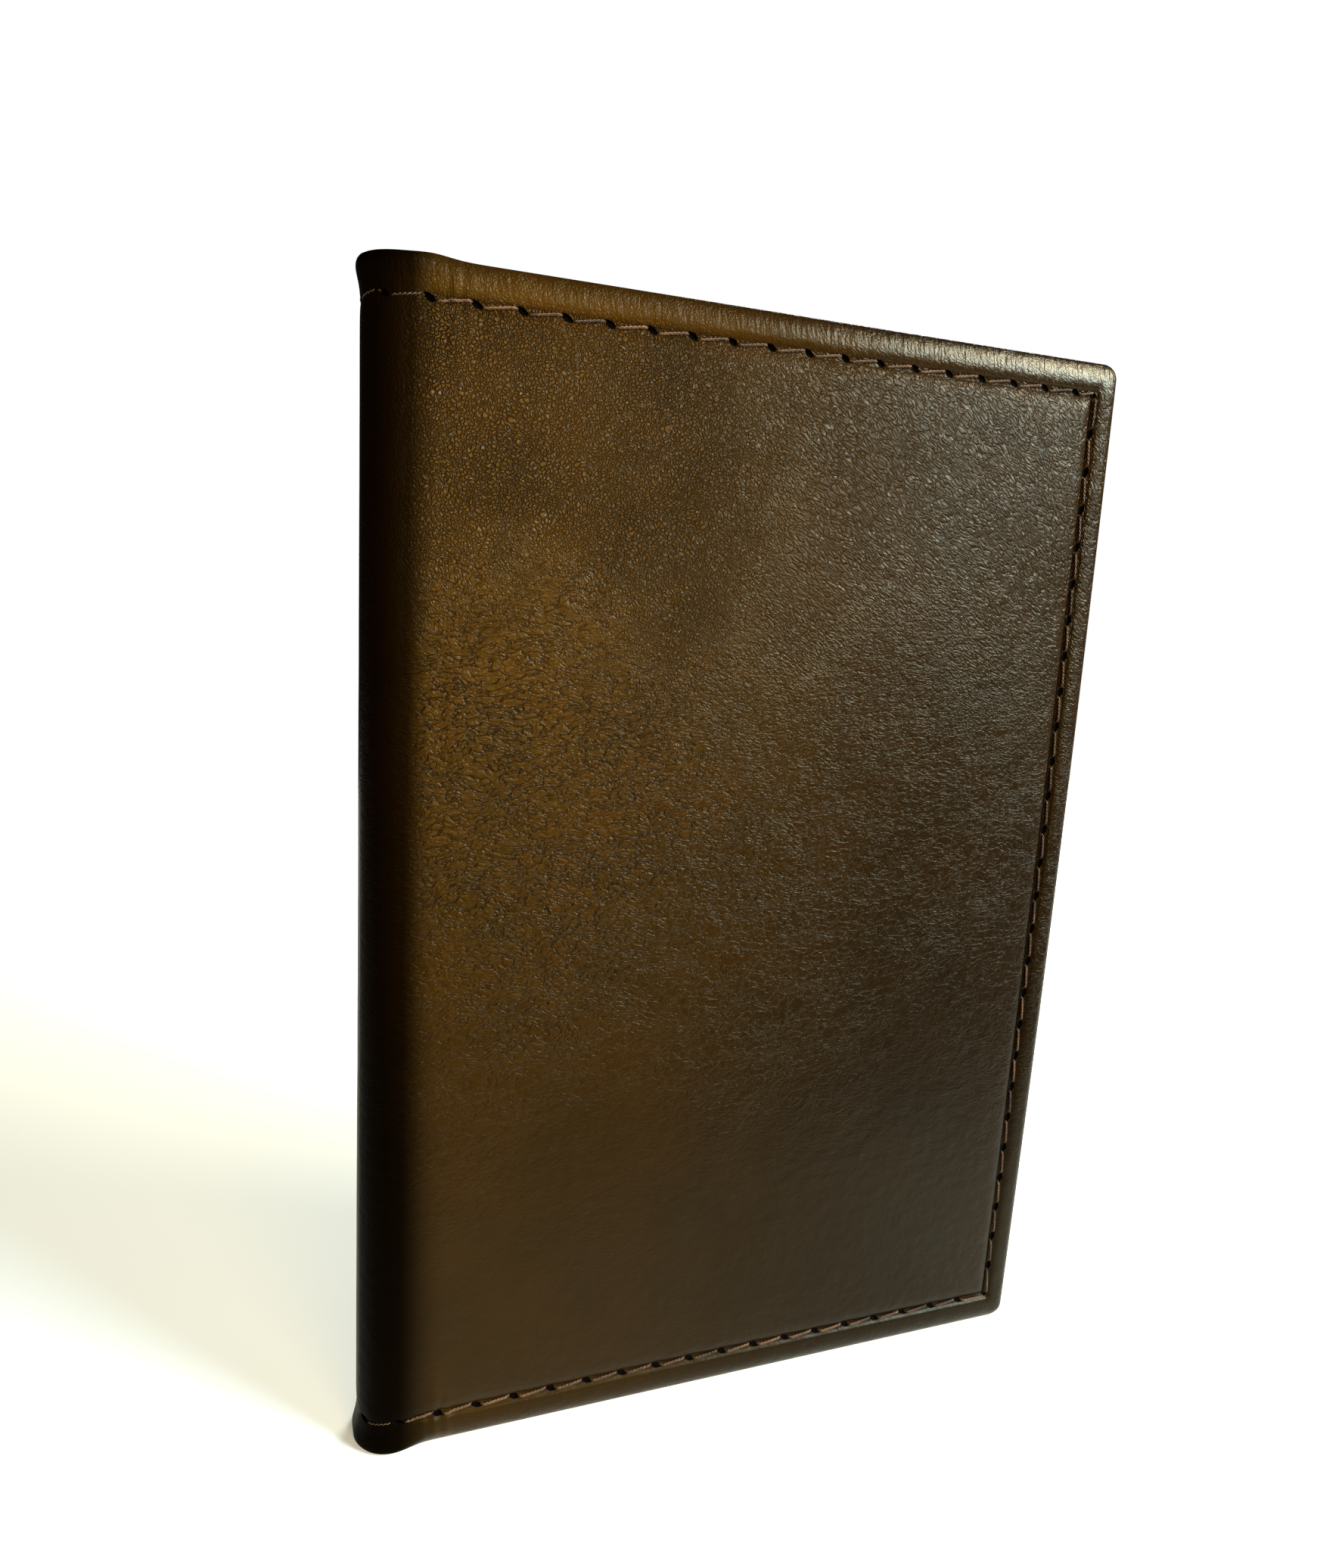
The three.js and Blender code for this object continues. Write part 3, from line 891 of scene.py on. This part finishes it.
def polish(tree, height, reach):
    """How much the hide shines: little on the face, and more along the top roll's fore half."""
    roll_shine = ramp(tree, reach, 45.0, 92.0, 0.08, 0.34)
    return ramp(tree, height, HEIGHT - 4.3, HEIGHT - 3.3, 0.12, roll_shine)


def leather_material(name, crease, body, warm, roughness, grain_depth):
    """Grained hide. Its pattern follows the flat leather, so it bends with a piece and keeps its size."""
    material, tree, shader = new_material(name)
    flat = pattern_space(tree)
    split = node(tree, "SeparateXYZ", {0: flat})
    height = split.outputs["Y"]
    reach = maths(tree, "ABSOLUTE", split.outputs["X"])
    drift = maths(tree, "MULTIPLY", noise(tree, flat, 0.035), 50.0)
    high = maths(tree, "ADD", height, drift)
    grain = hide_grain(tree, flat, high, reach)
    strength = grain_strength(tree, flat, high, height, reach)
    fine = noise(tree, flat, 5.5, 3.0, 0.6)
    relief = hide_relief(tree, flat, height, all_of(tree, grain, strength), grain_depth, fine)
    bump = node(tree, "Bump", {"Height": relief, "Distance": MM, "Strength": 1.0})
    tint = mix_colours(tree, ramp(tree, noise(tree, flat, 0.09, 4.0), 0.3, 0.7), body, warm)
    hollow = all_of(tree, maths(tree, "SUBTRACT", 1.0, grain), strength, 0.58)
    # The spine and its flared foot, which the covers' boards don't reach, are painted nearly black as shade,
    # and shine little.
    cover_from = ramp(tree, height, 10.0, 90.0, 13.5, 11.2)
    on_cover = ramp(tree, reach, 7.6, cover_from, 0.08, 1.0)
    groove_shade_and_dullness = seam_groove_shade_and_dullness(tree, height, reach)
    # The hide's colour is scaled by painted light and shade: nearly black on the spine, brighter beside the
    # spine and high up, darker low down and at the fore edge, and dark in the seam groove.
    painted_light = all_of(tree, on_cover, painted_light_and_shade(tree, height, reach), groove_shade_and_dullness)
    shaded_tint = node(tree, "VectorMath", {0: tint, "Scale": painted_light}, operation="SCALE").outputs[0]
    shine = all_of(tree, on_cover, groove_shade_and_dullness, polish(tree, height, reach))
    tree.links.new(mix_colours(tree, hollow, shaded_tint, crease), shader.inputs["Base Color"])
    tree.links.new(maths(tree, "MULTIPLY_ADD", fine, 0.16, roughness - 0.08), shader.inputs["Roughness"])
    tree.links.new(bump.outputs["Normal"], shader.inputs["Normal"])
    tree.links.new(shine, shader.inputs["Specular IOR Level"])
    shader.inputs["Specular Tint"].default_value = (1.0, 0.84, 0.50, 1)
    return material


def plain_material(name, colour, roughness, grain_scale, grain_depth):
    """A rough material with a fine mottle, for the boards and for the slits, whose near-black colour is
    painted shade.
    """
    material, tree, shader = new_material(name)
    space = node(tree, "TexCoord").outputs["Object"]
    mottle = noise(tree, space, grain_scale, 4.0, 0.6)
    darker = tuple(0.7 * c for c in colour)
    tree.links.new(mix_colours(tree, mottle, darker, colour), shader.inputs["Base Color"])
    bump = node(tree, "Bump", {"Height": mottle, "Distance": grain_depth * MM})
    tree.links.new(bump.outputs["Normal"], shader.inputs["Normal"])
    shader.inputs["Roughness"].default_value = roughness
    shader.inputs["Specular IOR Level"].default_value = 0.05
    return material


def twill_material(name, dark, light):
    """Woven twill: upright yarns under the diagonal ribs that the weave makes."""
    material, tree, shader = new_material(name)
    flat = pattern_space(tree)
    along = node(tree, "SeparateXYZ", {0: wander(tree, flat, 0.4, 0.25)})
    yarns = maths(tree, "SINE", maths(tree, "MULTIPLY", along.outputs["X"], 2 * math.pi / 0.32))
    diagonal = maths(tree, "ADD", along.outputs["X"], along.outputs["Y"])
    ribs = maths(tree, "SINE", maths(tree, "MULTIPLY", diagonal, 2 * math.pi / 0.62))
    fuzz = noise(tree, flat, 7.0, 3.0)
    weave = maths(tree, "ADD", maths(tree, "MULTIPLY", ribs, 0.5), maths(tree, "MULTIPLY", yarns, 0.25))
    relief = maths(tree, "ADD", weave, fuzz)
    bump = node(tree, "Bump", {"Height": relief, "Distance": 0.035 * MM})
    share = ramp(tree, relief, -0.4, 1.4)
    tree.links.new(mix_colours(tree, share, dark, light), shader.inputs["Base Color"])
    tree.links.new(bump.outputs["Normal"], shader.inputs["Normal"])
    shader.inputs["Roughness"].default_value = 0.8
    shader.inputs["Sheen Weight"].default_value = 0.25
    shader.inputs["Sheen Roughness"].default_value = 0.4
    return material


def thread_material(name, dark, light):
    material, tree, shader = new_material(name)
    space = node(tree, "TexCoord").outputs["Object"]
    streaks = noise(tree, space, 4000.0, 3.0, 0.6)
    patches = noise(tree, space, 160.0, 2.0)
    share = ramp(tree, maths(tree, "ADD", streaks, patches), 0.7, 1.3)
    tree.links.new(mix_colours(tree, share, dark, light), shader.inputs["Base Color"])
    bump = node(tree, "Bump", {"Height": streaks, "Distance": 0.02 * MM})
    tree.links.new(bump.outputs["Normal"], shader.inputs["Normal"])
    shader.inputs["Roughness"].default_value = 0.5
    shader.inputs["Specular IOR Level"].default_value = 0.3
    return material


# ---- Stage ----

# The floor's left, right, front and back edges, and the camera's place, in millimetres of the row frame.
FLOOR_EDGES = (-650, 420, -70, 420)
CAMERA_PLACE = Vector((-58.1, -124.1, 108.3)) * MM
CAMERA_AZIMUTH = math.radians(21.15)
CAMERA_ELEVATION = math.radians(-10.48)
CAMERA_ROLL = math.radians(3.3)
SENSOR = 36.0
LENS = 24.66


def add_camera():
    data = bpy.data.cameras.new("camera")
    data.sensor_width = SENSOR
    data.lens = LENS
    data.clip_start = 0.005
    camera = bpy.data.objects.new("camera", data)
    bpy.context.scene.collection.objects.link(camera)
    level = math.cos(CAMERA_ELEVATION)
    forward = Vector((math.sin(CAMERA_AZIMUTH) * level, math.cos(CAMERA_AZIMUTH) * level,
                      math.sin(CAMERA_ELEVATION)))
    flat_right = Vector((math.cos(CAMERA_AZIMUTH), -math.sin(CAMERA_AZIMUTH), 0))
    flat_up = flat_right.cross(forward)
    right = flat_right * math.cos(CAMERA_ROLL) + flat_up * math.sin(CAMERA_ROLL)
    up = right.cross(forward)
    turn = Matrix((right, up, -forward)).transposed()
    camera.matrix_world = Matrix.Translation(CAMERA_PLACE) @ turn.to_4x4()
    bpy.context.scene.camera = camera


def add_light(name, place_mm, size_mm, watts, colour, aim_mm=(0, 0, 70)):
    data = bpy.data.lights.new(name, "AREA")
    data.shape = "DISK"
    data.size = size_mm * MM
    data.energy = watts
    data.color = colour
    light = bpy.data.objects.new(name, data)
    bpy.context.scene.collection.objects.link(light)
    light.location = Vector(place_mm) * MM
    aim = Vector(aim_mm) * MM - light.location
    light.rotation_euler = aim.to_track_quat("-Z", "Y").to_euler()


def add_world(camera_strength, light_strength, colour):
    world = bpy.data.worlds.new("studio")
    bpy.context.scene.world = world
    world.use_nodes = True
    tree = world.node_tree
    background = tree.nodes["Background"]
    background.inputs["Color"].default_value = (*colour, 1)
    seen = node(tree, "LightPath").outputs["Is Camera Ray"]
    strength = node(tree, "Mix", {0: seen, 2: light_strength, 3: camera_strength}).outputs[0]
    tree.links.new(strength, background.inputs["Strength"])


def add_floor():
    """A pale sheet that ends a little in front of the object, so that the covers don't mirror it."""
    left, right, front, back = (edge * MM for edge in FLOOR_EDGES)
    mesh = bpy.data.meshes.new("floor")
    corners = [(left, front, 0), (right, front, 0), (right, back, 0), (left, back, 0)]
    mesh.from_pydata(corners, [], [(0, 1, 2, 3)])
    floor = bpy.data.objects.new("floor", mesh)
    bpy.context.scene.collection.objects.link(floor)
    material, _, shader = new_material("floor_paper")
    shader.inputs["Base Color"].default_value = (0.82, 0.80, 0.70, 1)
    shader.inputs["Roughness"].default_value = 0.8
    shader.inputs["Specular IOR Level"].default_value = 0.2
    shader.inputs["Emission Color"].default_value = (1.0, 0.98, 0.80, 1)
    shader.inputs["Emission Strength"].default_value = 0.36
    mesh.materials.append(material)


# ---- Assembly ----

add_camera()
bpy.context.scene.view_settings.view_transform = "Standard"
add_world(camera_strength=1.0, light_strength=0.04, colour=(1.0, 1.0, 1.0))
add_floor()
add_light("key", (430, -300, 400), size_mm=240, watts=6.2, colour=(1.0, 0.95, 0.80))
add_light("warm_room", (10, -300, 140), size_mm=160, watts=0.60, colour=(1.0, 0.72, 0.30))
add_light("sheen", (520, -560, 350), size_mm=240, watts=11.5, colour=(0.50, 0.74, 1.0))
add_light("back_window", (330, 480, 360), size_mm=300, watts=5.0, colour=(0.88, 0.96, 1.0))

outer_leather = leather_material(
    "grained_hide", crease=(0.007, 0.003, 0.0005), body=(0.032, 0.0137, 0.0011), warm=(0.040, 0.0160, 0.0011),
    roughness=0.325, grain_depth=0.085)
sleeve_leather = leather_material(
    "satin_hide", crease=(0.012, 0.005, 0.001), body=(0.050, 0.023, 0.005), warm=(0.060, 0.027, 0.005),
    roughness=0.44, grain_depth=0.040)
# The slits are painted near-black, as the shade inside the holes.
slit_shade_material = plain_material(
    "slit_painted_shade", (0.0012, 0.0006, 0.0003), roughness=1.0, grain_scale=2000.0, grain_depth=0.01)
lining_twill = twill_material("lining_twill", dark=(0.012, 0.008, 0.006), light=(0.055, 0.037, 0.026))
board_card = plain_material(
    "board_card", (0.42, 0.33, 0.22), roughness=0.9, grain_scale=900.0, grain_depth=0.05)
sewing_thread = thread_material("sewing_thread", dark=(0.010, 0.004, 0.0015), light=(0.15, 0.072, 0.029))


def attach(obj, side_name, nodes, bends=True):
    """Bakes a bent piece's transform into its mesh, or lets it ride on its cover, and hides the frame's parts
    that it stands for.
    """
    if bends:
        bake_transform(obj)
    else:
        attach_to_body(obj, f"{side_name}_cover")
    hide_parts(*nodes)


def spine_threads(face):
    return [f"spine_{end}_{face}_thread" for end in ("top", "bottom")]


for name, side in SIDES.items():
    is_front = side == FRONT
    leather = build_leather(f"{name}_leather", side, (outer_leather, slit_shade_material))
    attach(leather, name, [f"{name}_outer_leather"] + ["spine_outer_leather"] * is_front)
    lining = build_lining(f"{name}_lining_cloth", side, lining_twill)
    attach(lining, name, [f"{name}_lining"] + ["spine_lining"] * is_front)
    sleeve = build_sleeve(f"{name}_sleeve_leather", side, sleeve_leather)
    attach(sleeve, name, [f"{name}_sleeve"], bends=False)
    outside = build_stitches(
        f"{name}_outside_stitches", side, outside_level(side), DIVE, slanted=True, material=sewing_thread)
    attach(outside, name, [f"{name}_outside_thread"] + spine_threads("outside") * is_front)
    inside = build_stitches(
        f"{name}_inside_stitches", side, inside_level, -DIVE, slanted=False, material=sewing_thread)
    attach(inside, name, [f"{name}_inside_thread"] + spine_threads("inside") * is_front)
    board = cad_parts[f"{name}_board"]
    board.data.materials.clear()
    board.data.materials.append(board_card)
